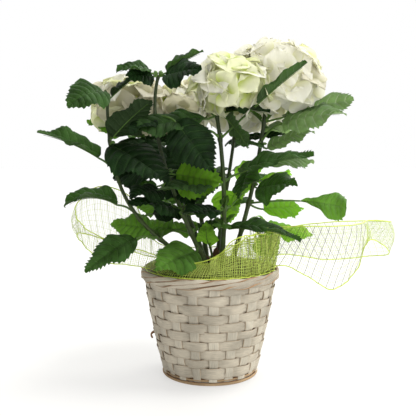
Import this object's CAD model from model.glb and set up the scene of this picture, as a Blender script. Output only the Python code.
import math

import bpy
import numpy as np
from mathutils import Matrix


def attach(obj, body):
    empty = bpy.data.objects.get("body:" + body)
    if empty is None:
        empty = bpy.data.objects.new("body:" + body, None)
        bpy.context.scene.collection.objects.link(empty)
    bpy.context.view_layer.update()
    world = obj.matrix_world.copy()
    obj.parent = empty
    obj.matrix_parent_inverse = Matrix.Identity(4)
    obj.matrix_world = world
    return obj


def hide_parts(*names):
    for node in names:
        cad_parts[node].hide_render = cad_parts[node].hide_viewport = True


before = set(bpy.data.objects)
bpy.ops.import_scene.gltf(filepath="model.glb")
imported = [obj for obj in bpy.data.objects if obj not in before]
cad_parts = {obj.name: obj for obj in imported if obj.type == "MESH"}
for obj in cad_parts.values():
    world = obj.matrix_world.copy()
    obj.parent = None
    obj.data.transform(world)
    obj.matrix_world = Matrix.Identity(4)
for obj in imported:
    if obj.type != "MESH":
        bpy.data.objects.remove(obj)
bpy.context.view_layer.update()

mm = 0.001
rng = np.random.default_rng(41)
print("frame loaded")


# camera, so that the view is settled before anything is built

cameraSet = {
    "position": (-0.0026, -0.870, 0.298),
    "pitchDown": 5.42,  # degrees
    "lens": 58.38,
    "sensor": 36.0,
}

cameraData = bpy.data.cameras.new("viewCamera")
cameraData.lens = cameraSet["lens"]
cameraData.sensor_width = cameraSet["sensor"]
cameraData.clip_start = 0.01
camera = bpy.data.objects.new("viewCamera", cameraData)
camera.location = cameraSet["position"]
camera.rotation_euler = (math.radians(90 - cameraSet["pitchDown"]), 0, 0)
bpy.context.scene.collection.objects.link(camera)
bpy.context.scene.camera = camera


# small helpers for meshes made from arrays

skyward = np.array([0, 0, 1.0])


def unit(v):
    return v / np.maximum(np.linalg.norm(v, axis=-1, keepdims=True), 1e-12)


# level directions, from turns in radians
def spoke(turn):
    return np.stack([np.cos(turn), np.sin(turn), 0.0 * turn], axis=-1)


def pairs(first, second):
    return np.stack(np.broadcast_arrays(first, second), axis=-1)


# distance along a run of points, from 0
def runLength(points):
    return np.concatenate([[0], np.cumsum(np.linalg.norm(np.diff(points, axis=0), axis=1))])


# directions along a path, to its side and up from it
def pathFrame(path, reference):
    along = unit(np.gradient(path, axis=0))
    side = unit(np.cross(np.broadcast_to(np.asarray(reference, float), along.shape), along))
    return along, side, np.cross(along, side)


def newPile():
    return {"verts": [], "faces": [], "slots": [], "maps": [], "cells": [], "count": 0}


# faces has four columns, and a triangle's last is -1; cell numbers the leaf or sepal for the bake layout
def addPart(pile, verts, faces, slot=0, uv=None, cell=0):
    verts = np.asarray(verts, float).reshape(-1, 3)
    faces = np.asarray(faces, int)
    pile["verts"].append(verts)
    pile["faces"].append(np.where(faces >= 0, faces + pile["count"], -1))
    pile["slots"].append(np.full(len(faces), slot))
    pile["maps"].append(np.zeros((len(verts), 2)) if uv is None else np.asarray(uv, float).reshape(-1, 2))
    pile["cells"].append(np.full(len(verts), cell))
    pile["count"] += len(verts)


def gridFaces(rows, columns):
    a = (np.arange(rows - 1)[:, None] * columns + np.arange(columns - 1)).ravel()
    return np.stack([a, a + 1, a + columns + 1, a + columns], axis=1)


# triangles from a ring of points to one more
def fanFaces(ring, tip):
    return np.stack([ring, np.roll(ring, -1), np.full(len(ring), tip), np.full(len(ring), -1)], axis=1)


def setMap(mesh, name, coords):
    layer = mesh.uv_layers.new(name=name)
    layer.data.foreach_set("uv", np.ascontiguousarray(coords, dtype=np.float32).ravel())


# materials are given by name; slot is the material slot in the library, and nodes are the solids it replaces
def makePiece(pile, name, materials, nodes=(), mapName="stripMap", atlas=False):
    verts = np.concatenate(pile["verts"])
    faces = np.concatenate(pile["faces"])
    maps = np.concatenate(pile["maps"])
    isTriangle = faces[:, 3] < 0
    sizes = np.where(isTriangle, 3, 4)
    loops = faces[faces >= 0]
    mesh = bpy.data.meshes.new(name)
    mesh.vertices.add(len(verts))
    mesh.vertices.foreach_set("co", verts.astype(np.float32).ravel())
    mesh.loops.add(len(loops))
    mesh.loops.foreach_set("vertex_index", loops.astype(np.int32))
    mesh.polygons.add(len(faces))
    mesh.polygons.foreach_set("loop_start", np.concatenate([[0], np.cumsum(sizes)[:-1]]).astype(np.int32))
    for material in materials:
        mesh.materials.append(bpy.data.materials[material])
    mesh.polygons.foreach_set("material_index", np.concatenate(pile["slots"]).astype(np.int32))
    mesh.polygons.foreach_set("use_smooth", np.ones(len(faces), bool))
    mesh.update(calc_edges=True)
    setMap(mesh, mapName, maps[loops])
    if atlas:
        cells = np.concatenate(pile["cells"])
        side = math.ceil(math.sqrt(cells.max() + 1))
        inset = 0.04
        atlasMap = (pairs(cells % side, cells // side) + inset + (1 - 2 * inset) * maps) / side
        setMap(mesh, "OFBake", atlasMap[loops])
    piece = bpy.data.objects.new(name, mesh)
    bpy.context.scene.collection.objects.link(piece)
    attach(piece, "root")
    if nodes:
        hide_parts(*nodes)
    print(name, int((sizes - 2).sum()), "triangles")
    return piece


# a section, in side and up parts, swept along a path; the map is metres along, then 0 to 1 across
def sweep(pile, path, side, up, section, scale, slot=0, caps=True, cell=0):
    path, section = np.asarray(path, float), np.asarray(section, float)
    n, m = len(path), len(section)
    scale = np.broadcast_to(scale, (n, 2))
    verts = (
        path[:, None]
        + side[:, None] * (section[None, :, 0] * scale[:, :1])[..., None]
        + up[:, None] * (section[None, :, 1] * scale[:, 1:])[..., None]
    )
    i, j = np.arange(n - 1)[:, None] * m, np.arange(m)
    faces = np.stack([i + j, i + (j + 1) % m, i + m + (j + 1) % m, i + m + j], axis=-1).reshape(-1, 4)
    flat = verts.reshape(-1, 3)
    corner = flat[faces[:m]]
    normal = np.cross(corner[:, 1] - corner[:, 0], corner[:, 3] - corner[:, 0])
    out = corner.mean(axis=1) - path[:2].mean(axis=0)
    if (normal * out).sum() < 0:
        faces = faces[:, ::-1]
    along = runLength(path)
    across = (section[:, 0] - section[:, 0].min()) / np.ptp(section[:, 0])
    uv = pairs(along[:, None], across).reshape(-1, 2)
    if caps:
        flat = np.concatenate([flat, path[:1], path[-1:]])
        uv = np.concatenate([uv, [[along[0], 0.5]], [[along[-1], 0.5]]])
        start = fanFaces(np.arange(m), n * m)[:, [1, 0, 2, 3]]
        faces = np.concatenate([faces, start, fanFaces(np.arange(m) + (n - 1) * m, n * m + 1)])
    addPart(pile, flat, faces, slot, uv, cell)


def roundSection(sides):
    return spoke(np.arange(sides) * 2 * np.pi / sides)[:, :2]


def tube(pile, path, radius, sides=6, reference=(0, 1, 0), slot=0, cell=0):
    _, side, up = pathFrame(path, reference)
    radius = np.broadcast_to(radius, (len(path),))
    sweep(pile, path, side, up, roundSection(sides), pairs(radius, radius), slot, cell=cell)


def bezier(route, share):
    p, t = np.asarray(route, float), np.asarray(share, float)[..., None]
    if len(p) == 3:
        return (1 - t) ** 2 * p[0] + 2 * t * (1 - t) * p[1] + t * t * p[2]
    return (1 - t) ** 3 * p[0] + 3 * (1 - t) ** 2 * t * p[1] + 3 * (1 - t) * t * t * p[2] + t ** 3 * p[3]


def heading(turn, lift):
    turn, lift = math.radians(turn), math.radians(lift)
    return np.array([math.cos(lift) * math.cos(turn), math.cos(lift) * math.sin(turn), math.sin(lift)])


def smoothNoise(count, knots, seed, closed=False):
    source = np.random.default_rng(seed)
    values = source.uniform(-1, 1, knots)
    values = np.append(values, values[0] if closed else source.uniform(-1, 1))
    at = np.linspace(0, knots, count)
    low = np.minimum(at.astype(int), knots - 1)
    share = at - low
    share = share * share * (3 - 2 * share)
    return values[low] * (1 - share) + values[low + 1] * share


# shader helpers, which add to the node tree that is being made

making = {}


# a link, or a constant on the socket itself
def plug(source, target):
    if hasattr(source, "is_output"):
        making["tree"].links.new(source, target)
    else:
        target.default_value = (*source, 1.0) if target.type == "RGBA" else source


# sockets by number or by name
def newNode(kind, sockets={}, **settings):
    made = making["tree"].nodes.new(kind)
    for key, value in settings.items():
        setattr(made, key, value)
    for spot, source in sockets.items():
        plug(source, made.inputs[spot])
    return made


def calc(operation, a, b=0.0, c=0.0, clamp=False):
    return newNode("ShaderNodeMath", {0: a, 1: b, 2: c}, operation=operation, use_clamp=clamp).outputs[0]


def times(a, b):
    return calc("MULTIPLY", a, b)


def blend(share, first, second, mode="MIX"):
    return newNode("ShaderNodeMix", {0: share, 6: first, 7: second}, data_type="RGBA", blend_type=mode).outputs[2]


def tinted(color, shade):
    return blend(1.0, color, shade, "MULTIPLY")


def ramp(value, low, high, toLow=0.0, toHigh=1.0):
    sockets = dict(enumerate((value, low, high, toLow, toHigh)))
    return newNode("ShaderNodeMapRange", sockets, interpolation_type="SMOOTHSTEP").outputs[0]


# scale is one number, or three where the grain runs one way
def noise(vector, scale, detail=3.0, roughness=0.55, distortion=0.0):
    if isinstance(scale, tuple):
        vector, scale = stretched(vector, scale), 1.0
    sockets = {"Vector": vector, "Scale": scale, "Detail": detail, "Roughness": roughness, "Distortion": distortion}
    return newNode("ShaderNodeTexNoise", sockets).outputs["Fac"]


def stretched(vector, scale):
    return newNode("ShaderNodeMapping", {"Vector": vector, "Scale": scale}).outputs["Vector"]


def surfaceMap(name):
    return newNode("ShaderNodeUVMap", uv_map=name).outputs["UV"]


def objectPlace():
    return newNode("ShaderNodeTexCoord").outputs["Object"]


def axes(vector):
    return newNode("ShaderNodeSeparateXYZ", {0: vector}).outputs


def startGroup(name, inputs):
    tree = making["tree"] = bpy.data.node_groups.new(name, "ShaderNodeTree")
    for label, value in inputs.items():
        tree.interface.new_socket(label, in_out="INPUT", socket_type="NodeSocketFloat").default_value = value
    return tree.nodes.new("NodeGroupInput").outputs


def endGroup(results):
    tree = making["tree"]
    for label in results:
        tree.interface.new_socket(label, in_out="OUTPUT", socket_type="NodeSocketFloat")
    newNode("NodeGroupOutput", results)
    return tree


def startMaterial(name, roughness, specular):
    material = bpy.data.materials.new(name)
    material.use_nodes = True
    making["tree"] = material.node_tree
    shader = material.node_tree.nodes["Principled BSDF"]
    plug(roughness, shader.inputs["Roughness"])
    plug(specular, shader.inputs["Specular IOR Level"])
    return shader


# colour, and relief of a height with its strength and depth
def dress(shader, color, height, strength, depth):
    relief = newNode("ShaderNodeBump", {"Strength": strength, "Distance": depth, "Height": height})
    plug(color, shader.inputs["Base Color"])
    plug(relief.outputs["Normal"], shader.inputs["Normal"])


# lets light from behind show through a thin blade or sepal
def addGlow(shader, color, share):
    glow = newNode("ShaderNodeBsdfTranslucent", {"Color": color})
    mixed = newNode("ShaderNodeMixShader", {"Fac": share, 1: shader.outputs["BSDF"], 2: glow.outputs["BSDF"]})
    plug(mixed.outputs["Shader"], making["tree"].nodes["Material Output"].inputs["Surface"])


# the shared effects: a leaf's veins, and whitewash worn off wood at its edges

def buildVeinGroup():
    given = startGroup("bladeVeins", {"Pairs": 8.0, "Vein Width": 0.12, "Net": 13.0})
    place = objectPlace()
    along, across, _ = axes(surfaceMap("bladeMap"))
    fromRib = calc("ABSOLUTE", calc("MULTIPLY_ADD", across, 2.0, -1.0))
    toVein = calc("PINGPONG", times(along, given["Pairs"]), 0.5)
    lateral = times(ramp(toVein, 0.0, given["Vein Width"], 1.0, 0.0), ramp(fromRib, 0.55, 1.0, 1.0, 0.35))
    veins = calc("MAXIMUM", ramp(fromRib, 0.0, 0.035, 0.75, 0.0), lateral)
    ladder = calc("ADD", times(fromRib, given["Net"]), times(noise(place, 260.0, 2.0), 1.6))
    rung = ramp(calc("PINGPONG", ladder, 0.5), 0.0, 0.2, 1.0, 0.0)
    cells = newNode("ShaderNodeTexVoronoi", {"Vector": place, "Scale": 620.0}, feature="DISTANCE_TO_EDGE")
    web = calc("MAXIMUM", rung, times(ramp(cells.outputs["Distance"], 0.0, 0.12, 1.0, 0.0), 0.6))
    height = calc("SUBTRACT", 1.0, calc("MULTIPLY_ADD", veins, 0.7, times(web, 0.3)))
    return endGroup({"Veins": veins, "Web": web, "Mottle": noise(place, 55.0, 4.0, 0.6), "Height": height})


def buildWashGroup():
    given = startGroup("wornWash", {"Edge Width": 0.09, "Wear": 0.5})
    strip, place = surfaceMap("stripMap"), objectPlace()
    across = axes(strip)["Y"]
    fromEdge = calc("MINIMUM", across, calc("SUBTRACT", 1.0, across))
    patch = noise(place, 120.0, 4.0, 0.65)
    reach = times(given["Edge Width"], calc("MULTIPLY_ADD", patch, 3.2, -0.9))
    edge = ramp(calc("SUBTRACT", fromEdge, reach), -0.02, 0.05, 1.0, 0.0)
    grain = noise(strip, (70.0, 26.0, 1.0), 5.0, 0.6, 0.3)
    rubbed = ramp(times(grain, calc("MULTIPLY_ADD", patch, 0.8, 0.6)), 0.56, 0.74)
    worn = calc("MAXIMUM", edge, times(rubbed, given["Wear"]), clamp=True)
    return endGroup({"Worn": worn, "Grain": grain, "Stain": noise(place, 28.0, 3.0, 0.5)})


veinGroup = buildVeinGroup()
washGroup = buildWashGroup()


# finishes

leafTints = {
    # blade from above, vein from above, blade from below, light through the blade, share let through
    "leafDeep": ((0.006, 0.022, 0.004), (0.040, 0.085, 0.026), (0.034, 0.058, 0.024), (0.020, 0.085, 0.006), 0.06),
    "leafMid": ((0.035, 0.080, 0.021), (0.090, 0.165, 0.056), (0.070, 0.115, 0.048), (0.075, 0.220, 0.014), 0.18),
    "leafFresh": ((0.076, 0.180, 0.030), (0.170, 0.290, 0.080), (0.120, 0.205, 0.058), (0.190, 0.440, 0.036), 0.34),
    "leafPale": ((0.095, 0.165, 0.062), (0.340, 0.420, 0.250), (0.200, 0.265, 0.145), (0.250, 0.420, 0.120), 0.34),
    "leafLime": ((0.135, 0.290, 0.028), (0.260, 0.440, 0.070), (0.200, 0.350, 0.065), (0.310, 0.700, 0.040), 0.60),
}


def buildLeaf(name, top, vein, below, through, share):
    shader = startMaterial(name, 0.5, 0.10)
    veins = newNode("ShaderNodeGroup", node_tree=veinGroup).outputs
    topColor = blend(times(veins["Web"], 0.14), top, vein)
    topColor = blend(times(veins["Veins"], 0.66), topColor, vein)
    topColor = tinted(topColor, ramp(veins["Mottle"], 0.32, 0.68, 0.50, 1.45))
    belowColor = blend(veins["Veins"], below, tuple(1.5 * c for c in below))
    behind = newNode("ShaderNodeNewGeometry").outputs["Backfacing"]
    dress(shader, blend(behind, topColor, belowColor), veins["Height"], 1.0, 0.0014)
    plug(ramp(veins["Mottle"], 0.2, 0.8, 0.38, 0.58), shader.inputs["Roughness"])
    addGlow(shader, blend(times(veins["Veins"], 0.6), through, vein), share)


sepalTints = {
    # sepal, its base and veins, light through it
    "sepalWhite": ((0.90, 0.885, 0.79), (0.80, 0.80, 0.52), (0.95, 0.94, 0.80)),
    "sepalGreen": ((0.85, 0.86, 0.63), (0.58, 0.68, 0.15), (0.89, 0.91, 0.55)),
    "sepalShade": ((0.68, 0.65, 0.52), (0.55, 0.54, 0.32), (0.74, 0.70, 0.50)),
}


def buildSepal(name, face, root, through):
    shader = startMaterial(name, 0.62, 0.3)
    along, across, _ = axes(surfaceMap("sepalMap"))
    place = objectPlace()
    spread = times(calc("SUBTRACT", across, 0.5), calc("MULTIPLY_ADD", along, -5.0, 17.0))
    veins = ramp(calc("PINGPONG", calc("ADD", spread, noise(place, 90.0)), 0.5), 0.0, 0.22, 1.0, 0.0)
    rootShare = ramp(along, 0.02, 0.55, 1.0, 0.0)
    color = blend(calc("MAXIMUM", rootShare, times(veins, 0.16)), face, root)
    color = tinted(color, ramp(noise(place, 45.0, 4.0, 0.6), 0.3, 0.7, 0.90, 1.05))
    dress(shader, color, calc("SUBTRACT", noise(place, 240.0, 3.0), times(veins, 0.5)), 0.35, 0.0004)
    addGlow(shader, blend(rootShare, through, root), 0.34)


woods = {
    # wash, bare wood, darkest wood, wear, width of the worn edge
    "splintWood": ((0.51, 0.458, 0.362), (0.43, 0.305, 0.185), (0.34, 0.235, 0.145), 0.34, 0.003),
    "stakeWood": ((0.53, 0.485, 0.39), (0.44, 0.33, 0.21), (0.36, 0.26, 0.165), 0.25, 0.004),
    "bareWood": ((0.33, 0.17, 0.075), (0.24, 0.11, 0.045), (0.15, 0.07, 0.03), 0.5, 0.05),
    "caneWood": ((0.50, 0.447, 0.352), (0.37, 0.225, 0.115), (0.24, 0.15, 0.085), 0.40, 0.045),
    "footWood": ((0.44, 0.305, 0.170), (0.34, 0.135, 0.045), (0.13, 0.062, 0.028), 0.60, 0.07),
}


def buildWood(name, wash, bare, dark, wear, edgeWidth):
    shader = startMaterial(name, 0.78, 0.25)
    worn = newNode("ShaderNodeGroup", {"Wear": wear, "Edge Width": edgeWidth}, node_tree=washGroup).outputs
    color = tinted(wash, ramp(worn["Grain"], 0.32, 0.66, 0.74, 1.08))
    color = tinted(color, ramp(worn["Stain"], 0.32, 0.68, 0.76, 1.14))
    bareColor = blend(ramp(worn["Stain"], 0.4, 0.6), bare, dark)
    dress(shader, blend(worn["Worn"], color, bareColor), worn["Grain"], 0.5, 0.0005)
    plug(ramp(worn["Worn"], 0.0, 1.0, 0.80, 0.62), shader.inputs["Roughness"])


netGrain = ((180, 2), (0.35, 0.65), (2600, 1), 0.4, 0.0002)
plainFinishes = {
    # roughness, specular, dark and light colour, tone noise and its ramp, relief noise, its strength and depth
    "leafStalk": (0.45, 0.4, (0.045, 0.110, 0.014), (0.110, 0.210, 0.034), (70, 3), None, ((900,) * 3, 2), 0.3, 0.0003),
    "potCompost": (
        0.95, 0.15, (0.012, 0.008, 0.005), (0.060, 0.038, 0.022), (320, 5, 0.7), (0.35, 0.7), None, 0.9, 0.002,
    ),
    "cutWood": (0.9, 0.2, (0.050, 0.026, 0.014), (0.160, 0.090, 0.048), ((700, 700, 120), 4), None, None, 0.8, 0.001),
    "potLiner": (0.6, 0.3, (0.030, 0.024, 0.018), (0.075, 0.060, 0.045), (90, 4), None, None, 0.3, 0.0004),
    "floretBead": (0.5, 0.4, (0.42, 0.50, 0.12), (0.70, 0.74, 0.34), (400, 2), None, None, 0.3, 0.0004),
    "netThread": (0.4, 0.5, (0.52, 0.64, 0.12), (0.68, 0.80, 0.17), *netGrain),
    "netCord": (0.5, 0.5, (0.155, 0.175, 0.045), (0.235, 0.255, 0.065), *netGrain),
    "netEdge": (0.3, 0.5, (0.68, 0.82, 0.11), (0.80, 0.93, 0.14), *netGrain),
}


def buildPlain(name, roughness, specular, dark, light, grain, contrast, relief, strength, depth):
    shader = startMaterial(name, roughness, specular)
    place = objectPlace()
    tone = noise(place, *grain)
    color = blend(ramp(tone, *contrast) if contrast else tone, dark, light)
    dress(shader, color, noise(place, *relief) if relief else tone, strength, depth)
    if name.startswith("net"):
        addGlow(shader, color, 0.22)


# green wood that is browner low down and shaded under the leaves, with pores
def buildStem():
    shader = startMaterial("stemBark", 0.5, 0.35)
    place = objectPlace()
    high = axes(place)["Z"]
    patch = noise(place, 60.0, 4.0, 0.6)
    green = blend(patch, (0.030, 0.062, 0.010), (0.080, 0.145, 0.026))
    brown = blend(patch, (0.015, 0.014, 0.006), (0.036, 0.034, 0.014))
    color = blend(times(ramp(high, 0.150, 0.330, 0.7, 0.2), ramp(patch, 0.35, 0.62)), green, brown)
    color = tinted(color, ramp(high, 0.205, 0.300, 1.0, 0.42))
    specks = newNode("ShaderNodeTexVoronoi", {"Vector": stretched(place, (420, 420, 150)), "Scale": 1.0})
    pore = ramp(specks.outputs["Distance"], 0.12, 0.26, 1.0, 0.0)
    color = blend(times(pore, 0.5), color, (0.10, 0.085, 0.040))
    dress(shader, color, calc("ADD", times(noise(place, (900, 900, 60)), 0.6), pore), 0.5, 0.0004)


for build, table in ((buildLeaf, leafTints), (buildSepal, sepalTints), (buildWood, woods), (buildPlain, plainFinishes)):
    for name, values in table.items():
        build(name, *values)
buildStem()
print("materials made")


# the basket: stakes, weavers, plaited rim, foot hoop, liner and floor

basket = {
    "wallTop": (84.2 * mm, 124.7 * mm),  # radius and height of the wall's middle surface
    "wallFoot": (61.8 * mm, 9.0 * mm),
    "stakes": 20,
    "firstStake": -90 + 3.2,  # degrees
    "stakeWidth": (14.2 * mm, 11.0 * mm),  # top, foot
    "stakeThickness": 1.3 * mm,
    "stakeWave": 0.6 * mm,
    "barrel": 1.3 * mm,  # how far the wall swells at half height
    "rows": 10,
    "rowDrift": 0.8 * mm,  # how far a weaver wanders up and down, and how far it dips where it passes over a stake
    "rowDip": 0.35 * mm,
    "lowestEdge": 12.2 * mm,
    "rowPitch": 11.7 * mm,
    "weaverWidth": 12.5 * mm,
    "weaverThickness": 0.8 * mm,
    "weaverWave": 1.15 * mm,
    "steps": 300,
    "stakeSpan": (5 * mm, 129 * mm),  # from foot to top
    "stakeSteps": 70,
}


def wallRadius(z):
    (topRadius, topHeight), (footRadius, footHeight) = basket["wallTop"], basket["wallFoot"]
    share = (z - footHeight) / (topHeight - footHeight)
    barrel = basket["barrel"] * np.sin(np.pi * np.clip(share, 0, 1))
    return footRadius + (topRadius - footRadius) * share + barrel


wallLean = (basket["wallTop"][0] - basket["wallFoot"][0]) / (basket["wallTop"][1] - basket["wallFoot"][1])
stripSection = [
    (-1, -0.5), (-0.5, -0.5), (0.5, -0.5), (1, -0.5), (1, 0.12), (0.82, 0.40), (0.35, 0.50), (-0.35, 0.50),
    (-0.82, 0.40), (-1, 0.12),
]


def ringPath(out, radius, z):
    return out * radius[..., None] + skyward * np.asarray(z)[..., None]


# the direction up along the wall, and the one straight out of it
def wallFrame(out):
    rise = unit(wallLean * out + skyward)
    return rise, unit(out - rise * (out * rise).sum(axis=1, keepdims=True))


def buildWeavers():
    pile = newPile()
    first, count = math.radians(basket["firstStake"]), basket["stakes"]
    for row in range(basket["rows"]):
        start = first + 2 * np.pi * (row * 7 % count) / count + 0.16
        turn = start + np.linspace(0, 2 * np.pi * 1.01, basket["steps"])
        over = np.cos(count / 2 * (turn - first)) * (-1) ** row
        over = np.sign(over) * np.abs(over) ** 0.75
        middle = basket["lowestEdge"] + basket["rowPitch"] * (row + 0.5)
        z = middle + basket["rowDrift"] * smoothNoise(len(turn), 23, 100 + row) - basket["rowDip"] * over
        radius = wallRadius(z) + basket["weaverWave"] * over * (1 + 0.18 * smoothNoise(len(turn), 20, 200 + row))
        width = basket["weaverWidth"] / 2 * (1 + 0.11 * smoothNoise(len(turn), 31, 300 + row)) * (1 + 0.05 * over)
        if row == 0:  # the first row is a broader splint that nearly meets the foot
            width, z = width * 1.16, z - 1.3 * mm
        out = spoke(turn)
        rise, normal = wallFrame(out)
        tilt = 0.10 * over + 0.05 * smoothNoise(len(turn), 17, 400 + row)
        side = unit(rise + normal * tilt[:, None])
        up = -np.cross(side, unit(np.cross(normal, side)))
        sweep(pile, ringPath(out, radius, z), side, up, stripSection, pairs(width, basket["weaverThickness"]))
    return pile


def buildStakes():
    pile = newPile()
    steps, (top, foot) = basket["stakeSteps"], basket["stakeWidth"]
    breadths = 1 + 0.12 * smoothNoise(basket["stakes"], 19, 650)
    for k in range(basket["stakes"]):
        around = math.radians(basket["firstStake"]) + 2 * np.pi * k / basket["stakes"]
        turn = around + 0.012 * smoothNoise(steps, 5, 500 + k)
        z = np.linspace(*basket["stakeSpan"], steps)
        over = np.cos(np.pi * ((z - basket["lowestEdge"]) / basket["rowPitch"] - 0.5)) * (-1) ** k
        out = spoke(turn)
        path = ringPath(out, wallRadius(z) - basket["stakeWave"] * over, z)
        width = np.linspace(foot, top, steps) / 2 * (1 + 0.10 * smoothNoise(steps, 8, 600 + k)) * breadths[k]
        scale = pairs(width, basket["stakeThickness"])
        sweep(pile, path, spoke(turn + np.pi / 2), wallFrame(out)[1], stripSection, scale)
    return pile


# a snapped end of splint curls out of the left side
splinter = {
    "turn": 184.0,  # degrees
    "height": 54 * mm,
    "reach": 5.5 * mm,
    "drop": 8 * mm,
    "swing": 3 * mm,
    "width": 3.4 * mm,
    "thick": 2.0 * mm,
    "steps": 14,
}


def buildSplinter():
    pile = newPile()
    step = np.linspace(0, 1, splinter["steps"])
    out, side = spoke(math.radians(splinter["turn"])), spoke(math.radians(splinter["turn"] + 90))
    radius = wallRadius(splinter["height"]) + splinter["reach"] * np.sin(step * 2.4)
    path = ringPath(out, radius, splinter["height"] - splinter["drop"] * step ** 1.6)
    path = path + side * (splinter["swing"] * step)[:, None]
    side = np.broadcast_to(side, path.shape)
    up = unit(np.cross(unit(np.gradient(path, axis=0)), side))
    sweep(pile, path, side, up, stripSection, pairs(splinter["width"] * (1.2 - 0.6 * step), splinter["thick"]))
    return pile


makePiece(buildWeavers(), "basket_weavers", ["splintWood"], ["basket_wall"])
makePiece(buildStakes(), "basket_stakes", ["stakeWood"], ["basket_wall"])
makePiece(buildSplinter(), "snapped_splint", ["bareWood"])

rim = {
    "strands": 5,
    "turns": 3,
    "coreRadius": 87.1 * mm,
    "middle": 132 * mm,
    "deep": 1.5 * mm,
    "tall": 4.5 * mm,
    "strandHalf": 2.9 * mm,
    "strandThickness": 2.1 * mm,
    "steps": 360,
}


def buildRim():
    pile = newPile()
    turn = np.linspace(0, 2 * np.pi, rim["steps"])
    out = spoke(turn)
    for k in range(rim["strands"]):
        wander, slack, swell = (
            smoothNoise(len(turn), knots, seed + k, closed=True) for knots, seed in ((12, 700), (17, 720), (19, 740))
        )
        phase = rim["turns"] * turn + 2 * np.pi * k / rim["strands"] + 0.25 * wander
        loose = 1 + 0.05 * slack
        ahead, high = np.cos(phase), np.sin(phase)
        radius = rim["coreRadius"] + rim["deep"] * ahead * loose
        path = ringPath(out, radius, rim["middle"] + rim["tall"] * high * loose)
        normal = unit(ringPath(out, rim["tall"] * ahead, rim["deep"] * high))
        side = unit(ringPath(out, -rim["deep"] * high, rim["tall"] * ahead))
        width = rim["strandHalf"] * (1 + 0.12 * swell)
        sweep(pile, path, side, normal, stripSection, pairs(width, rim["strandThickness"]), caps=False)
    return pile


makePiece(buildRim(), "plaited_rim", ["caneWood"], ["basket_rim"])

foot = {
    "canes": [(60.4 * mm, 6.6 * mm, 1.5 * mm), (60.6 * mm, 1.9 * mm, 1.9 * mm)],  # ring radius, height, cane radius
    "steps": 181,
}


def buildFoot():
    pile = newPile()
    steps = foot["steps"]
    out = spoke(np.linspace(0, 2 * np.pi, steps))
    for k, (radius, height, thick) in enumerate(foot["canes"]):
        path = ringPath(out, radius + 0.3 * mm * smoothNoise(steps, 14, 760 + k, closed=True), height)
        cane = thick * (1 + 0.06 * smoothNoise(steps, 20, 770 + k, closed=True))
        sweep(pile, path, np.broadcast_to(skyward, out.shape), out, roundSection(10), pairs(cane, cane), caps=False)
    return pile


makePiece(buildFoot(), "foot_canes", ["footWood"], ["foot_hoop"])

# pairs of radius and height in mm
profiles = {
    "liner": [
        (0, 5.2), (56, 5.2), (57.5, 8), (79.5, 122), (82.5, 130),
        (81.5, 130), (78.5, 122), (56.5, 9), (55, 6.4), (0, 6.4),
    ],
    "floor": [(0, 1.6), (30, 1.5), (59, 1.6), (60, 2.4), (59, 4.4), (0, 4.4)],
}


def turnedSheet(profile, sides=64):
    pile = newPile()
    profile = np.asarray(profile, float) * mm
    ring = spoke(np.linspace(0, 2 * np.pi, sides + 1))
    uv = pairs(np.linspace(0, 0.5, sides + 1), np.linspace(0.2, 0.8, len(profile))[:, None])
    verts = ringPath(ring, profile[:, :1], profile[:, 1:])
    addPart(pile, verts, gridFaces(len(profile), sides + 1), 0, uv)
    return pile


makePiece(turnedSheet(profiles["liner"]), "pot_liner", ["potLiner"])
# the stakes' own ends cross under the floor
slats = {"reach": 59 * mm, "height": 0.75 * mm, "size": (4.6 * mm, 1.3 * mm), "steps": 25}


def buildFloor():
    pile = turnedSheet(profiles["floor"])
    line = np.linspace(-slats["reach"], slats["reach"], slats["steps"])[:, None]
    for k in range(basket["stakes"] // 2):
        turn = math.radians(basket["firstStake"]) + 2 * math.pi * k / basket["stakes"]
        path = line * spoke(turn) + slats["height"] * skyward
        side, up = (np.broadcast_to(v, path.shape) for v in (spoke(turn + math.pi / 2), -skyward))
        sweep(pile, path, side, up, stripSection, slats["size"])
    return pile


makePiece(buildFloor(), "basket_floor", ["stakeWood"])
print("basket made")


# compost with crumbs, and the stub of an old stem

compost = {"crown": 145.6 * mm, "rim": 131 * mm, "radius": 78 * mm, "crumbs": 620, "rings": 46, "sectors": 96}


def compostHeight(x, y):
    share = np.hypot(x, y) / compost["radius"]
    waves = np.sin(x * 170 + 1) * np.sin(y * 140 + 2) + 0.5 * np.sin(x * 420) * np.sin(y * 380 + 1)
    return compost["crown"] - (compost["crown"] - compost["rim"]) * share ** 3.4 + (0.5 * waves - 0.9) * mm


def buildCompost():
    pile = newPile()
    rings, sectors = compost["rings"], compost["sectors"]
    share = np.linspace(0.004, 1, rings)[:, None]
    turn = np.linspace(0, 2 * np.pi, sectors + 1)
    x, y = compost["radius"] * share * np.cos(turn), compost["radius"] * share * np.sin(turn)
    z = compostHeight(x, y) + 0.35 * mm * rng.uniform(-1, 1, x.shape) * (share < 0.98)
    z[:, -1] = z[:, 0]
    addPart(pile, np.stack([x, y, z], axis=-1), gridFaces(rings, sectors + 1))
    ball = np.array([(1, 0, 0), (0, 1, 0), (-1, 0, 0), (0, -1, 0), (0, 0, 1), (0, 0, -1)], float)
    sides = np.concatenate([fanFaces(np.arange(4), 4), fanFaces(np.arange(4), 5)[:, [1, 0, 2, 3]]])
    for _ in range(compost["crumbs"]):
        away = compost["radius"] * 0.97 * math.sqrt(rng.uniform())
        x, y, _ = away * spoke(rng.uniform(0, 2 * np.pi))
        size = rng.uniform(0.7, 2.1) * mm
        lump = ball * size * rng.uniform(0.6, 1.3, (6, 1)) * np.array([1, rng.uniform(0.5, 1), 0.7])
        spin = rng.uniform(0, np.pi)
        lump = lump @ np.array([spoke(spin) * (1, -1, 1), spoke(spin)[[1, 0, 2]], skyward])
        addPart(pile, lump + np.array([x, y, float(compostHeight(x, y)) + 0.1 * mm]), sides)
    return pile


makePiece(buildCompost(), "compost", ["potCompost"], ["root_ball"])

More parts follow.
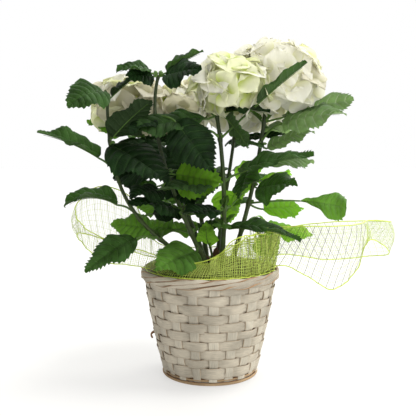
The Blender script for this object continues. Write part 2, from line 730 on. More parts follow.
stub = {
    "at": np.array([5, 5, 0]) * mm,
    "radius": 4.6 * mm,
    "height": 15 * mm,
    "lean": 4 * mm,
    "steps": np.array([-0.25, 0, 0.15, 0.35, 0.55, 0.75, 0.92, 1.0, 1.0]),
    "girth": np.array([1.25, 1.1, 0.95, 0.9, 0.95, 0.85, 0.88, 0.8, 0.35]),
    "fibres": 7,  # torn fibres and dead twig ends round it
}


def buildStub():
    pile = newPile()
    base = stub["at"] + compost["crown"] * skyward
    path = base + stub["steps"][:, None] * np.array([stub["lean"], 0, stub["height"]])
    path[-1, 2] -= 1.2 * mm
    tube(pile, path, stub["radius"] * stub["girth"], 14)
    for k in range(stub["fibres"]):
        out = spoke(rng.uniform(0, 2 * np.pi)) * mm
        low = base + 4 * out - 1 * mm * skyward
        tip = low + 7 * out + rng.uniform(4, 11) * mm * skyward
        tube(pile, np.linspace(low, tip, 5), np.linspace(1.3, 0.5, 5) * mm, 6, (0.1, 1, 0))
    return pile


makePiece(buildStub(), "old_stub", ["cutWood"], ["cut_stub"])
print("compost made")


# the plant. A stem's nodes run from its foot to its tip, each with its share of the stem and its leaves. A leaf is
# [turn, stalk length, stalk lift, blade length, blade lift, width, roll, curl, fold, tint], in millimetres and
# degrees, and may end with a flare. Curl bends the tip down, and fold lifts each half from the midrib.

deep, mid, fresh, pale, lime = range(5)

stems = {
    "left": {
        "route": [[-14, 0, 138], [-80, -8, 185], [-128, -24, 215], [-126, -35, 348]],
        "radius": (2.9, 1.9),
        "nodes": [
            (0.28, [[-148, 36, 5, 76, -29, 46, 35, 35, 22, mid], [42, 16, 30, 58, 5, 38, -20, 20, 12, fresh],
                [172, 16, 52, 56, 5, 46, 45, 20, 12, fresh]]),
            (0.45, [[-170, 35, 35, 66, -2, 52, 14, 75, 40, mid], [12, 18, 25, 46, -5, 36, -25, 20, 10, deep]]),
            (0.73, [[-167, 30, 45, 80, 22, 50, 24, 25, 40, mid], [75, 18, 20, 66, -8, 42, 15, 25, 15, mid]]),
            (0.87, [[-36, 8, -40, 98, -26, 68, -25, 20, 12, deep], [-30, 7, 51, 74, 36, 52, 25, 20, 15, deep]]),
            (1.0, [[-134, 14, 66, 56, -22, 54, 35, 70, 15, mid], [9, 10, 60, 34, 38, 36, 0, 12, 30, deep]]),
        ],
    },
    "left_front": {
        "route": [[-4, -10, 138], [-24, -16, 190], [-84, -46, 300], [-63, -38, 380]],
        "radius": (2.9, 1.9),
        "nodes": [
            (0.13, [[-123, 10, 10, 84, -9, 60, 30, 25, 10, fresh]]),
            (0.24, [[146, 31, 8, 60, -3, 46, 34, 20, 10, fresh], [30, 12, 30, 44, 10, 30, -15, 15, 12, mid]]),
            (0.34, [[-139, 14, 36, 74, 10, 48, 20, 25, 12, deep]]),
            (0.55, [[-14, 12, -5, 60, -10, 58, -60, 15, 10, lime], [-130, 24, -50, 50, -10, 46, 20, 20, 10, deep],
                [150, 16, 10, 70, -10, 54, 40, 20, 12, deep], [26, 16, 15, 66, -12, 52, -42, 20, 12, deep]]),
            (0.81, [[-34, 33, -14, 80, -48, 58, -50, 15, 10, deep],
                [-128, 10, -50, 40, -19, 40, 10, 20, 20, deep]]),
            (1.0, [[-155, 12, 20, 42, -3, 36, 25, 65, 30, mid], [18, 12, 30, 54, 29, 34, 0, 15, 45, mid],
                [-30, 10, 6, 52, 5, 48, -50, 20, 10, deep], [-148, 8, 0, 36, -4, 36, 48, 20, 15, deep]]),
        ],
    },
    "left_back": {
        "route": [[-5, 10, 138], [-26, 16, 215], [-70, 38, 275], [-106, 50, 332]],
        "radius": (2.9, 2.2),
        "nodes": [
            (0.3, [[160, 22, 20, 60, 4, 44, 20, 20, 14, fresh], [-20, 12, 20, 40, 0, 30, -20, 20, 14, mid]]),
            (0.54, [[-62, 18, 10, 66, -30, 52, -15, 18, 12, deep], [158, 18, 25, 70, 0, 48, 24, 25, 12, lime],
                [-155, 20, -20, 50, 2, 36, 20, 25, 14, mid]]),
            (0.86, [[-120, 8, -30, 60, -15, 50, 0, 20, 12, deep], [-75, 16, -10, 70, -48, 54, 0, 18, 12, deep],
                [110, 16, 5, 66, -2, 46, -15, 30, 14, mid], [174, 14, 10, 66, 16, 46, 22, 25, 14, fresh]]),
        ],
    },
    "centre": {
        "route": [[14, -6, 138], [22, -14, 210], [17, -22, 290], [6, -20, 346]],
        "radius": (3.0, 2.4),
        "nodes": [
            (0.25, [[-17, 8, -14, 92, -9, 46, -12, 40, 30, mid], [-100, 8, 10, 34, 0, 26, 10, 20, 14, fresh]]),
            (0.35, [[-134, 15, -4, 58, -1, 46, 20, 20, 20, deep], [48, 12, 20, 52, 28, 40, 50, 10, 10, lime]]),
            (0.5, [[-143, 12, -8, 88, -2, 46, 12, 15, 15, mid], [-12, 24, 36, 96, 13, 56, -20, 20, 30, mid]]),
            (0.77, [[-21, 65, 42, 77, 37, 42, -4, 8, 40, mid, 0.35], [-146, 26, 25, 56, -22, 50, 25, 20, 10, mid]]),
            (0.93, [[-155, 14, -17, 92, -10, 52, 28, 20, 20, mid, 0.6],
                [-18, 13, 22, 56, -3, 44, -10, 25, 25, deep], [-40, 15, -10, 52, -47, 44, 50, 20, 15, mid]]),
        ],
    },
    "right": {
        "route": [[27, 10, 138], [50, 26, 205], [64, 34, 260], [74, 36, 344]],
        "radius": (3.0, 2.4),
        "nodes": [
            (0.25, [[30, 42, -4, 80, -10, 44, -30, 15, 10, lime], [48, 40, 12, 40, -50, 50, -50, 15, 10, lime],
                [-5, 26, -20, 36, -55, 40, -75, 15, 10, lime]]),
            (0.42, [[24, 24, -18, 64, -2, 46, -30, 15, 10, lime], [-8, 69, 4, 60, -8, 42, -50, 8, 10, fresh, 1.1]]),
            (0.55, [[-39, 8, -30, 62, 7, 60, -40, 15, 10, mid], [40, 16, 20, 60, 4, 42, 20, 20, 12, lime]]),
            (0.66, [[-114, 30, 0, 50, -50, 50, -30, 15, 10, mid], [24, 18, 20, 74, 0, 50, -15, 25, 12, pale]]),
            (0.81, [[-33, 42, 40, 88, 6, 64, -34, 20, 12, pale], [-10, 10, -35, 66, 19, 46, -20, 20, 15, pale],
                [-124, 8, -15, 56, 0, 38, 12, 20, 15, mid]]),
            (0.93, [[-13, 26, 16, 94, 12, 44, -30, 20, 24, pale, 0.7],
                [60, 16, -20, 66, -12, 44, 15, 25, 14, pale]]),
        ],
    },
    "back": {
        "route": [[10, 24, 138], [14, 44, 200], [28, 78, 250], [38, 96, 334]],
        "radius": (2.9, 2.2),
        "nodes": [
            (0.38, [[-70, 30, 80, 48, -65, 42, 0, 15, 10, lime], [70, 20, 20, 72, -4, 48, 15, 25, 12, mid],
                [-60, 10, 30, 40, 14, 30, -20, 15, 14, fresh]]),
            (0.62, [[-12, 10, 30, 42, 14, 38, -60, 15, 10, lime], [50, 20, 15, 74, -6, 50, -20, 25, 12, mid],
                [112, 20, 20, 70, -6, 46, 20, 30, 12, mid]]),
            (0.88, [[75, 18, -4, 76, -8, 50, 12, 30, 12, deep], [-22, 14, 0, 62, 4, 42, -15, 20, 14, deep]]),
        ],
    },
    "back_left": {
        "route": [[-4, 26, 138], [-10, 52, 205], [-26, 82, 258], [-40, 96, 322]],
        "radius": (3.1, 2.3),
        "nodes": [
            (0.4, [[125, 20, 20, 72, -4, 48, 18, 25, 12, mid], [-135, 16, 20, 48, 6, 34, 20, 20, 14, fresh]]),
            (0.64, [[-80, 18, 10, 70, -35, 52, 0, 20, 12, mid], [140, 20, 15, 74, -4, 50, 20, 25, 12, mid],
                [75, 20, 10, 64, -8, 42, -15, 30, 12, mid]]),
            (0.9, [[-105, 18, -10, 78, -52, 56, 10, 18, 12, deep], [130, 16, -4, 76, -8, 50, -12, 30, 12, deep],
                [205, 14, 0, 52, 4, 36, 20, 25, 14, deep]]),
        ],
    },
    "young": {
        "route": [[3, -2, 138], [4, -3, 150], [2, -4, 158], [0, -4, 166]],
        "radius": (1.9, 1.4),
        "nodes": [
            (1.0, [[-105, 2, 40, 38, 62, 32, 0, -70, 24, lime]]),
        ],
    },
}

leafForm = {
    "toothPitch": 5.8,  # mm along the midrib
    "tooth": [0.0, 0.28, 0.62, 1.0, 0.40],  # outline of one tooth, a row to each value
    "pairs": 8,  # lateral veins on each side
    "columns": 7,  # from midrib to margin
    "sweep": 0.42,  # how far the lateral veins run forward
    "toothDepth": 2.5,
    "quilt": 2.4,  # how far the blade puffs up between veins
    "stalkRadius": 1.25,
    "ribRadius": 0.85,
    "ribRows": 14,
    "stalkRows": 9,
    "wave": 0.055,  # of the width
    "ripple": 0.04,
    "droop": 0.18,
}


# flare moves the widest place from near the foot towards the tip
def leafOutline(share, flare):
    first, second = 0.6 + 0.7 * flare, 1.08 - 0.65 * flare
    widest = first / (first + second)
    top = widest ** first * (1 - widest) ** second
    return np.clip(share, 0, 1) ** first * np.clip(1 - share, 0, 1) ** second / top


def bladeAxes(turn, lift, roll):
    ahead = heading(turn, lift)
    right = heading(turn - 90, 0)
    up = np.cross(right, ahead)
    a = math.radians(roll)
    return ahead, right * math.cos(a) + up * math.sin(a), up * math.cos(a) - right * math.sin(a)


# the midrib as an arc whose ends keep the blade's length apart
def ribPoint(along, length, curl):
    bend = math.radians(curl)
    if abs(bend) < 0.02:
        return along * length, np.zeros_like(along), np.zeros_like(along)
    radius = length / (2 * math.sin(bend / 2))
    angle = -bend / 2 + bend * along
    return radius * (np.sin(angle) + math.sin(bend / 2)), radius * (np.cos(angle) - math.cos(bend / 2)), angle


def addLeaf(blades, stalks, node, leaf, cell):
    turn, stalk, stalkLift, length, lift, width, roll, curl, fold, tint = leaf[:10]
    flare = leaf[10] if len(leaf) > 10 else 0
    source = np.random.default_rng(int(1000 + cell * 17 + abs(turn)))
    ahead, right, up = bladeAxes(turn, lift, roll)
    stalk = stalk * mm
    base = node + heading(turn, stalkLift) * stalk
    length, width = length * mm, width * mm
    toothRows = len(leafForm["tooth"])
    rows = max(7, round(length / (leafForm["toothPitch"] * mm))) * toothRows + 1
    columns = leafForm["columns"]
    a = np.linspace(0, 1, rows)[:, None]
    t = np.linspace(-1, 1, 2 * columns + 1)
    away = np.abs(t)
    forward = leafForm["sweep"] * a ** 0.6 * (1 - a)
    along = a + forward * away ** 1.3
    half = leafOutline(a + forward, flare) * width / 2
    tooth = np.resize(leafForm["tooth"], rows)[:, None]
    depth = leafForm["toothDepth"] * source.uniform(0.6, 1.0) * length / 80
    bite = depth * np.clip((a - 0.05) / 0.10, 0, 1) * np.clip((1.0 - a) / 0.10, 0.25, 1) * (a < 0.995)
    bite = bite * (1 + 0.3 * np.repeat(source.uniform(-1, 1, rows // toothRows + 1), toothRows)[:rows, None])
    across = half * away + (tooth - 0.45) * bite * away ** 6
    along = along + (0.8 + 1.3 * flare) * tooth * bite * away ** 6 / length
    puff = np.abs(np.sin(np.pi * leafForm["pairs"] * a)) ** 0.8
    shape = (4 * away * (1 - away)) ** 0.7 * 0.9 + 0.25 * away
    quilt = leafForm["quilt"] * mm * (puff * shape - 0.35 * (away < 0.02)) * np.clip(half / (0.2 * width), 0, 1)
    wave = np.sin(2 * np.pi * (1.7 * along + source.uniform())) * away ** 2 * np.sign(t + 1e-9)
    ripple = np.sin(2 * np.pi * (3.1 * along + source.uniform())) * away ** 2.5
    wave = width * (leafForm["wave"] * wave + leafForm["ripple"] * ripple)
    foldAngle = math.radians(fold)
    sideways = across * math.cos(foldAngle) * np.sign(t)
    turnedDown = leafForm["droop"] * width * (across / width * 2) ** 2 * (1 if fold < 50 else -0.3)
    rise = across * math.sin(foldAngle) - turnedDown + quilt + wave
    x, z, angle = ribPoint(along, length, curl)
    twist = math.radians(source.uniform(-9, 9)) * along
    sideTwist = sideways * np.cos(twist) - rise * np.sin(twist)
    riseTwist = rise * np.cos(twist) + sideways * np.sin(twist)
    normal = up * np.cos(angle)[..., None] + ahead * np.sin(angle)[..., None]
    points = base + ahead * x[..., None] + up * z[..., None]
    points = points + right * sideTwist[..., None] + normal * riseTwist[..., None]
    addPart(blades, points, gridFaces(rows, 2 * columns + 1), tint, pairs(a, t * 0.5 + 0.5), cell)
    # stalk from the node into the midrib, which stands out below the blade
    ribX, ribZ, ribAngle = ribPoint(np.linspace(0, 0.9, leafForm["ribRows"]), length, curl)
    ribNormal = up * np.cos(ribAngle)[:, None] + ahead * np.sin(ribAngle)[:, None]
    rib = base + ahead * ribX[:, None] + up * ribZ[:, None] - ribNormal * 1.4 * mm
    bow = base - ahead * 0.45 * stalk - 0.05 * stalk * skyward
    start = bezier([node, bow, rib[0]], np.linspace(0, 0.97, leafForm["stalkRows"]))
    radius = np.concatenate([
        np.linspace(1.25, 0.95, leafForm["stalkRows"]) * leafForm["stalkRadius"],
        np.linspace(1, 0.22, leafForm["ribRows"]) * leafForm["ribRadius"],
    ])
    tube(stalks, np.concatenate([start, rib]), radius * mm, 6, up, cell=cell)


stemForm = {"sides": 14, "rows": 110, "youngRows": 24, "knuckle": 0.34, "ridge": 0.036}


def addStem(pile, name, stem, cell):
    share = np.linspace(0, 1, stemForm["youngRows" if name == "young" else "rows"])
    route = np.array(stem["route"]) * mm
    path = bezier(route, share)
    thick, thin = stem["radius"]
    radius = (thick + (thin - thick) * share) * mm * (1 + 0.35 * (1 - share) ** 8)
    for nodeShare, _ in stem["nodes"]:
        near = np.linalg.norm(path - bezier(route, nodeShare), axis=1) / (4 * mm)
        radius = radius * (1 + stemForm["knuckle"] * np.exp(-near ** 2))
    along, side, up = pathFrame(path, (0, 1, 0))
    sides = stemForm["sides"]
    angle = np.arange(sides) * 2 * np.pi / sides
    source = np.random.default_rng(900 + cell)
    lobes = np.cos(6 * angle + 2 * share[:, None]) + 0.6 * source.uniform(-1, 1, (len(share), sides))
    r = (radius[:, None] * (1 + stemForm["ridge"] * lobes))[..., None]
    verts = path[:, None] + side[:, None] * r * np.cos(angle)[:, None] + up[:, None] * r * np.sin(angle)[:, None]
    verts = np.concatenate([verts, verts[:, :1]], axis=1)
    uv = pairs(share[:, None] * 0.2, np.linspace(0, 1, sides + 1))
    addPart(pile, verts, gridFaces(len(share), sides + 1), 0, uv, cell)
    cap = np.concatenate([verts[-1, :sides], path[-1:] + along[-1:] * radius[-1] * 0.5])
    addPart(pile, cap, fanFaces(np.arange(sides), sides), 0, None, cell)
    tube(pile, np.stack([path[0] - 3 * mm * skyward, path[0], path[1]]), radius[0] * 1.02, sides, cell=cell)


# buds in the angle of each stalk, and now and then a pair of very small leaves
budRule = {"length": 6.5, "width": 2.1, "smallLeafShare": 0.25, "smallLeaf": (14, 24)}


def addBud(pile, node, turn, lift, cell, source):
    ahead = unit(heading(turn, lift + 30))
    step = np.linspace(0, 1, 7)
    path = node + ahead * ((2.0 + budRule["length"] * step) * mm)[:, None]
    radius = budRule["width"] * mm * np.sin(np.pi * (0.08 + 0.92 * step)) ** 0.7 * source.uniform(0.7, 1.1) + 0.05 * mm
    tube(pile, path, radius, 7, heading(turn + 90, 0), cell=cell)


stemPile, twigPile = newPile(), newPile()
leafPiles = {name: newPile() for name in stems}
for order, (name, stem) in enumerate(stems.items()):
    addStem(stemPile, name, stem, order)
    cell = 0
    for share, leaves in stem["nodes"]:
        source = np.random.default_rng(60 + order * 10 + int(share * 100))
        node = bezier(np.array(stem["route"]) * mm, share)
        for leaf in leaves:
            addLeaf(leafPiles[name], twigPile, node, leaf, cell)
            cell += 1
            addBud(twigPile, node, leaf[0] + source.uniform(-8, 8), leaf[2], order, source)
        if name != "young" and source.uniform() < budRule["smallLeafShare"]:
            spin = source.uniform(0, 360)
            for k in range(2):
                small = source.uniform(*budRule["smallLeaf"])
                tiny = [spin + 180 * k, 5, 40, small, source.uniform(20, 50), small * 0.55, 0, 25, 35, fresh]
                addLeaf(leafPiles[name], twigPile, node, tiny, cell)
                cell += 1

makePiece(stemPile, "stems", ["stemBark"], [f"stem_{name}" for name in stems])
makePiece(twigPile, "leaf_stalks", ["leafStalk"])
for name, stem in stems.items():
    masses = [f"foliage_{name}_{k + 1}" for k in range(len(stem["nodes"]))] if name != "young" else ["foliage_young"]
    makePiece(leafPiles[name], f"leaves_{name}", list(leafTints), masses, "bladeMap", atlas=True)
print("stems and leaves made")


# flower heads: florets of four broad sepals, on stalks that meet below the dome

heads = {
    "left": {"at": (-112, 50, 353), "across": 100, "tall": 84, "florets": 22, "green": 0.10, "shade": 0.45},
    "centre": {"at": (23, -20, 370), "across": 97, "tall": 84, "florets": 23, "green": 0.62, "shade": 0.0},
    "right": {
        "at": (91, 35, 381), "across": 124, "tall": 112, "florets": 34, "green": 0.08, "shade": 0.05,
        "more": [(-46, -4, 31), (-34, -12, 36), (-52, -14, 16), (-24, 4, 40)],
    },
    "back": {"at": (44, 100, 354), "across": 108, "tall": 84, "florets": 25, "green": 0.20, "shade": 0.15},
    "back_left": {"at": (-44, 104, 350), "across": 96, "tall": 76, "florets": 22, "green": 0.20, "shade": 0.45},
}
floretForm = {
    "sepal": 28.5,  # length in mm
    "broad": 1.28,
    "rows": 12,
    "columns": 6,
    "inset": 15,  # how far inside the dome's surface the florets sit, in mm
    "lowest": -0.72,
    "tilt": 0.22,  # how far each floret leans away from straight out
}


def addSepal(pile, root, ahead, side, up, length, source, slot, cell):
    rows, columns = floretForm["rows"], floretForm["columns"]
    a = np.linspace(0, 1, rows)[:, None]
    t = np.linspace(-1, 1, 2 * columns + 1)
    blunt = np.sin(np.pi * np.clip(a, 0, 1) ** 0.74) ** 0.44
    half = length * floretForm["broad"] * source.uniform(0.92, 1.1) / 2 * blunt + 0.25 * mm
    across = half * t
    # the tip is rounded, so that the rows bow forward in the middle
    along = length * (a * (1 - 0.16 * np.abs(t) ** 2.2 * a) + 0.02)
    cup = source.uniform(0.08, 0.34)  # a spoon's hollow along the middle
    climb, recurve = source.uniform(0.10, 0.34), source.uniform(0.10, 0.34)
    rise = length * (cup * (t ** 2) * 0.5 * blunt + climb * a - recurve * a ** 2.6)
    phase, wobble = source.uniform(0, 6.28), source.uniform(0.015, 0.045)
    rise = rise + length * wobble * np.sin(2.6 * np.pi * t + phase) * a ** 2
    points = root + ahead * along[..., None] + side * across[..., None] + up * rise[..., None]
    addPart(pile, points, gridFaces(rows, 2 * columns + 1)[:, ::-1], slot, pairs(a, t * 0.5 + 0.5), cell)


def addBead(pile, at, up, radius, slot, cell):
    turn = np.arange(8) * np.pi / 4
    side = unit(np.cross(up, np.array([0.3, 0.9, 0.2])))
    other = np.cross(up, side)
    level = side * np.cos(turn)[:, None] + other * np.sin(turn)[:, None]
    rings = [(0.75, -0.1), (1.0, 0.35), (0.72, 0.85), (0.25, 1.08)]
    verts = [at + radius * (level * r + up * h) for r, h in rings] + [at[None] + up * radius * 1.15]
    ring = np.arange(8)
    lap = np.stack([ring, np.roll(ring, -1), np.roll(ring, -1) + 8, ring + 8], axis=1)
    faces = [lap + 8 * k for k in range(3)] + [fanFaces(ring + 24, 32)]
    addPart(pile, np.concatenate(verts), np.concatenate(faces), slot, None, cell)


def buildHead(head, order):
    sepals, stalks = newPile(), newPile()
    source = np.random.default_rng(300 + order)
    middle = np.array(head["at"]) * mm
    reach = np.array([head["across"], head["across"], head["tall"]]) * mm / 2
    golden = math.pi * (3 - math.sqrt(5))
    neck = middle - 0.55 * skyward * reach
    places = []
    for k in range(head["florets"]):
        high = 1 - (k + 0.5) / head["florets"] * (1 - floretForm["lowest"])
        flat = math.sqrt(max(0, 1 - high * high))
        turn = k * golden + source.uniform(-0.15, 0.15)
        ball = unit(np.array([flat * math.cos(turn), flat * math.sin(turn), high + source.uniform(-0.06, 0.06)]))
        places.append(ball * (reach - floretForm["inset"] * mm * source.uniform(0.75, 1.2)))
    # florets that stand out of the dome
    places += [np.array(place) * mm for place in head.get("more", [])]
    for k, place in enumerate(places):
        ball, at = unit(place / reach), middle + place
        up = unit(unit(ball / reach) + 0.12 * skyward + source.normal(0, floretForm["tilt"], 3))
        spin = source.uniform(0, math.pi / 2)
        first = unit(np.cross(up, np.array([math.cos(spin * 4), math.sin(spin * 4), 0.3])))
        second = np.cross(up, first)
        draw = source.uniform() if k < head["florets"] else 1
        slot = 1 if draw < head["green"] else (2 if draw < head["green"] + head["shade"] else 0)
        size = floretForm["sepal"] * mm * source.uniform(0.86, 1.12)
        for q in range(4):
            angle = spin + q * math.pi / 2 + source.uniform(-0.10, 0.10)
            ahead = first * math.cos(angle) + second * math.sin(angle)
            side = np.cross(up, ahead)
            lifted = unit(ahead + up * source.uniform(-0.10, 0.22))
            lift = up * (0.35 * mm if q % 2 else 0.0)
            addSepal(sepals, at + lift, lifted, side, unit(np.cross(lifted, side)), size, source, slot, 4 * k + q)
        addBead(stalks, at + up * 1.2 * mm, up, 1.7 * mm, 1 if slot != 1 else 0, k)
        bow = neck + (at - neck) * 0.55 - 4 * mm * skyward
        path = bezier([neck, bow, at + up * 0.6 * mm], np.linspace(0, 1, 8))
        tube(stalks, path, np.linspace(1.25, 0.7, 8) * mm, 5, (0.2, 0.9, 0.1), cell=k)
    return sepals, stalks


for order, (name, head) in enumerate(heads.items()):
    sepalPile, stalkPile = buildHead(head, order)
    makePiece(sepalPile, f"blossom_{name}", list(sepalTints), [f"flower_head_{name}"], "sepalMap", atlas=True)
    makePiece(stalkPile, f"blossom_stalks_{name}", ["leafStalk", "floretBead"])
print("flower heads made")


# netting: one long strip on edge round the plant, and two gathered layers inside it at the collar

netting = {
    "billow": 5,
    "threadPitch": 2.75 * mm,
    "weftPitch": 4.6 * mm,
    "thread": 0.19 * mm,
    "thick": 0.38 * mm,
    "thickEvery": 4,
    "lean": (5 * mm, 27 * mm),  # how far the top of a cross thread runs ahead of its foot, left and right
    "edge": 0.72 * mm,
    "darkFrom": 0.5,  # thick threads are dark on the right, but not where the netting is drawn out
    "samples": 3000,
    "ringSteps": 361,
    "stations": [
        [-46, -66, 135, 152, -12], [-5, -79, 134, 157, -20], [32, -73, 134, 174, -14], [58, -54, 134, 188, -6],
        [75, -28, 141, 193, 0], [94, -22, 144, 194, 2], [126, -42, 131, 197, 2], [150, -50, 119, 198, 2],
        [179, -42, 137, 199, 2], [204, -14, 176, 201, 0], [240, 22, 152, 195, 0], [218, 50, 144, 193, 0],
        [162, 58, 138, 190, 0], [104, 54, 146, 182, 0], [66, 46, 141, 166, 0], [22, 78, 134, 154, 0],
        [-32, 74, 134, 153, 0], [-74, 50, 142, 164, 2], [-112, 62, 150, 226, 4], [-150, 44, 170, 240, 4],
        [-176, 18, 180, 214, 2], [-162, -4, 166, 192, 2], [-136, -12, 147, 178, 2], [-106, -16, 144, 168, 2],
        [-76, -30, 141, 160, -4],
    ],
}


# closed centripetal curve through the stations, with its direction
def closedCurve(points, around):
    count = len(points)
    p = (np.asarray(around) % 1.0) * count
    k = np.floor(p).astype(int)
    w = (p - k)[:, None]
    before, here, after, beyond = (points[(k + step) % count] for step in (-1, 0, 1, 2))
    first = np.linalg.norm(here - before, axis=1, keepdims=True) ** 0.5
    second = np.linalg.norm(after - here, axis=1, keepdims=True) ** 0.5
    third = np.linalg.norm(beyond - after, axis=1, keepdims=True) ** 0.5
    one = ((here - before) / first - (after - before) / (first + second) + (after - here) / second) * second
    two = ((after - here) / second - (beyond - here) / (second + third) + (beyond - after) / third) * second
    c2 = -3 * here + 3 * after - 2 * one - two
    c3 = 2 * here - 2 * after + one + two
    return here + one * w + c2 * w ** 2 + c3 * w ** 3, unit(one + 2 * c2 * w + 3 * c3 * w ** 2)


def outward(along):
    return unit(np.stack([along[:, 1], -along[:, 0], 0 * along[:, 0]], axis=1))


stationTable = np.array(netting["stations"], float)
lowPoints = stationTable[:, [0, 1, 2]] * mm
_, lowAlong = closedCurve(lowPoints, np.arange(len(stationTable)) / len(stationTable))
highPoints = stationTable[:, [0, 1, 3]] * mm + outward(lowAlong) * stationTable[:, 4:] * mm


def netPoints(around, across):
    low, along = closedCurve(lowPoints, around)
    high, _ = closedCurve(highPoints, around)
    out = outward(along)
    swell = np.where(high[:, 2] - low[:, 2] > 30 * mm, netting["billow"] * mm, 0)
    across = np.asarray(across, float)
    ripple = 0.9 * mm * np.sin(around * 2 * np.pi * 37 + across * 5) + 0.5 * mm * np.sin(around * 2 * np.pi * 91 + 2)
    point = low + (high - low) * across[:, None]
    return point + out * (swell * np.sin(np.pi * across) + ripple)[:, None], out


def buildNetting():
    pile = newPile()
    samples, steps, pitch = netting["samples"], netting["ringSteps"], netting["threadPitch"]
    fine = np.linspace(0, 1, samples + 1)
    middle, _ = netPoints(fine[:-1], np.full(samples, 0.5))
    length = runLength(np.concatenate([middle, middle[:1]]))
    total = length[-1]
    high, low = (closedCurve(points, fine[:-1])[0] for points in (highPoints, lowPoints))
    width = float(np.linalg.norm(high - low, axis=1).mean())
    across = np.linspace(0, 1, 9)
    for k in range(int(round(total / pitch))):
        at = (k + 0.18 * math.sin(k * 1.7)) * pitch  # cross threads wander a little, as open netting does
        place = float(np.interp(at % total, length[:-1], middle[:, 0]))
        rightness = min(max((place + 20 * mm) / (110 * mm), 0.0), 1.0)
        stretch = min(max((abs(place) - 120 * mm) / (80 * mm), 0.0), 1.0)
        lean = netting["lean"][0] + (netting["lean"][1] - netting["lean"][0]) * rightness
        around = np.interp((at + lean * (across - 0.5)) % total, length, fine)
        if np.ptp(around) > 0.5:
            around = np.where(around < 0.5, around + 1, around)
        path, out = netPoints(around, across)
        bold = k % netting["thickEvery"] == 0
        radius = netting["thick" if bold else "thread"] * (1 - 0.3 * stretch)
        dark = bold and rightness > netting["darkFrom"] and stretch < 0.9
        tube(pile, path, radius, 3, out[4] + 0.01 * skyward, slot=2 if dark else 0)
    rows = int(round(width / netting["weftPitch"]))
    for k in range(rows + 1):
        path, _ = netPoints(np.linspace(0, 1, steps), np.full(steps, k / rows))
        path[-1] = path[0]
        addWeft(pile, path, k in (0, rows), netting["edge"], netting["thread"] * 0.7)
    return pile, total, width


def addWeft(pile, path, isEdge, edge, thread):
    tube(pile, path, edge if isEdge else thread, 5 if isEdge else 3, (0, 0, 1), slot=1 if isEdge else 0)


# the flat size is the modelled strip's own: its mean width and its length along the middle. Half of the threads'
# surface is its area, because the rest is holes.
def addNetting(name, built, materials, nodes=()):
    pile, length, width = built
    piece = makePiece(pile, name, materials, nodes)


netSolids = [f"netting_{k + 1}" for k in range(8)]
addNetting("netting_ruffle", buildNetting(), ["netThread", "netEdge", "netCord"], netSolids)

# gathered layers inside the ruffle: one lies on the compost and stands up at the right, one is tucked behind that
layers = {
    "netting_collar": {
        "from": -182.0,  # degrees
        "to": 38.0,
        "low": (84 * mm, 138.5 * mm),  # radius and height of the lower edge
        "high": (74 * mm, 187 * mm),
        "inner": 27 * mm,  # how far in the low part reaches
        "innerHeight": 152 * mm,
        "rise": (0.40, 0.16),  # where along it the strip starts to stand up, and over what share
        "pleats": 15,
        "pleatDepth": 3.0 * mm,
        "pitch": 3.0 * mm,
        "lean": 20 * mm,  # how far the top leans out at the right
        "thread": 0.29 * mm,
        "edge": 0.7 * mm,
    },
    "netting_tuck": {
        "from": -90.0,
        "to": 44.0,
        "low": (78 * mm, 139 * mm),
        "high": (68 * mm, 181 * mm),
        "inner": 14 * mm,
        "innerHeight": 160 * mm,
        "rise": (0.0, 0.35),
        "pleats": 14,
        "pleatDepth": 3.6 * mm,
        "pitch": 2.8 * mm,
        "lean": 22 * mm,
        "thread": 0.25 * mm,
        "edge": 0.6 * mm,
    },
}


def layerPoints(layer, share, across):
    turn = np.radians(layer["from"] + (layer["to"] - layer["from"]) * share)
    (lowRadius, lowHeight), (highRadius, highHeight) = layer["low"], layer["high"]
    rising = np.clip((share - layer["rise"][0]) / layer["rise"][1], 0, 1)
    rising = rising * rising * (3 - 2 * rising)
    top = layer["innerHeight"] + (highHeight - layer["innerHeight"]) * rising
    radius = lowRadius + (highRadius - lowRadius) * across * rising - layer["inner"] * across * (1 - rising)
    pleat = np.sin(2 * np.pi * layer["pleats"] * share) * (0.35 + 0.65 * across) * (0.1 + 0.9 * rising)
    radius = radius + layer["lean"] * across * rising * np.exp(-((turn - 0.25) / 0.55) ** 2)
    radius = radius + layer["pleatDepth"] * pleat + 1.0 * mm * np.sin(2 * np.pi * 23 * share + 1) * rising
    z = lowHeight + (top - lowHeight) * across ** (1 - 0.45 * (1 - rising))
    return np.stack([radius * np.cos(turn), radius * np.sin(turn), z], axis=-1)


def buildLayer(layer, samples=1200, steps=260):
    pile = newPile()
    across = np.linspace(0, 1, 9)
    fine = np.linspace(0, 1, samples)
    length = runLength(layerPoints(layer, fine, np.full(samples, 0.5)))
    total = length[-1]
    for k in range(int(total / layer["pitch"])):
        share = np.interp(np.clip(k * layer["pitch"] + 6 * mm * (across - 0.5), 0, total), length, fine)
        path = layerPoints(layer, share, across)
        tube(pile, path, layer["thread"] * (1.4 if k % 4 == 0 else 1), 3, unit(path[4] * np.array([1, 1, 0])))
    gap = layerPoints(layer, fine, np.ones(samples)) - layerPoints(layer, fine, np.zeros(samples))
    width = float(np.linalg.norm(gap, axis=1).mean())
    rows = int(width / layer["pitch"])
    for k in range(rows + 1):
        path = layerPoints(layer, np.linspace(0, 1, steps), np.full(steps, k / rows))
        addWeft(pile, path, k in (0, rows), layer["edge"], layer["thread"])
    return pile, total, width


for name, layer in layers.items():
    addNetting(name, buildLayer(layer), ["netThread", "netEdge"])
print("netting made")


# floor, soft white surround and lights

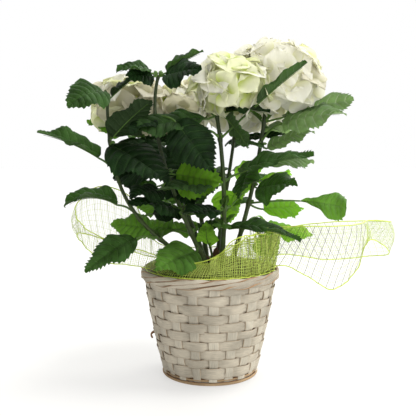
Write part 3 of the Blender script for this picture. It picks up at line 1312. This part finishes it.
stageSet = {
    "floor": (0.29, 0.285, 0.27),
    "floorGlow": 0.56,  # a light table, so that the floor runs into the surround
    "backSide": 1.75,  # how bright the surround is behind the plant, and on the camera's side
    "frontSide": 0.27,
    "rightward": 0.60,  # how far the bright side is turned to the right
    "backdrop": 1.0,
    "aim": np.array([0, 0, 0.24]),
    "areas": {
        # position, power, size, colour
        "backRight": ((0.75, 0.85, 0.95), 9, 0.6, (1.0, 0.99, 0.96)),
        "frontSoft": ((0.50, -0.95, 0.65), 7, 0.9, (1.0, 0.99, 0.97)),
    },
    "above": ((-0.26, -0.02, -1.0), 1.9, 20),  # way it shines, strength, softness in degrees
}

bpy.ops.mesh.primitive_plane_add(size=14, location=(0, 0, -0.0003))
floor = bpy.context.object
floor.name = "studioFloor"
floorShader = startMaterial("studioFloor", 0.7, 0.2)
plug(stageSet["floor"], floorShader.inputs["Base Color"])
plug((1, 1, 1), floorShader.inputs["Emission Color"])
plug(stageSet["floorGlow"], floorShader.inputs["Emission Strength"])
floor.data.materials.append(bpy.data.materials["studioFloor"])

world = bpy.data.worlds.new("softSurround")
bpy.context.scene.world = world
world.use_nodes = True
making["tree"] = world.node_tree
background = world.node_tree.nodes["Background"].inputs
eastward, northward, _ = axes(newNode("ShaderNodeTexCoord").outputs["Generated"])
bright = calc("MULTIPLY_ADD", eastward, stageSet["rightward"], northward)
glowLevel = ramp(bright, -0.7, 0.8, stageSet["frontSide"], stageSet["backSide"])
seen = newNode("ShaderNodeLightPath").outputs["Is Camera Ray"]
level = newNode("ShaderNodeMix", {0: seen, 2: glowLevel, 3: stageSet["backdrop"]}, data_type="FLOAT")
plug((1, 1, 1), background["Color"])
plug(level.outputs[0], background["Strength"])
bpy.context.scene.view_settings.view_transform = "Standard"


def addLamp(name, kind, aim, **settings):
    data = bpy.data.lights.new(name, kind)
    for key, value in settings.items():
        setattr(data, key, value)
    lamp = bpy.data.objects.new(name, data)
    lamp.rotation_euler = (math.atan2(math.hypot(aim[0], aim[1]), -aim[2]), 0, math.atan2(aim[1], aim[0]) - math.pi / 2)
    bpy.context.scene.collection.objects.link(lamp)
    return lamp


for name, (position, power, size, color) in stageSet["areas"].items():
    addLamp(name, "AREA", stageSet["aim"] - position, energy=power, size=size, color=color).location = position
direction, strength, softness = stageSet["above"]
addLamp("above", "SUN", direction, energy=strength, angle=math.radians(softness))
print("lights set")
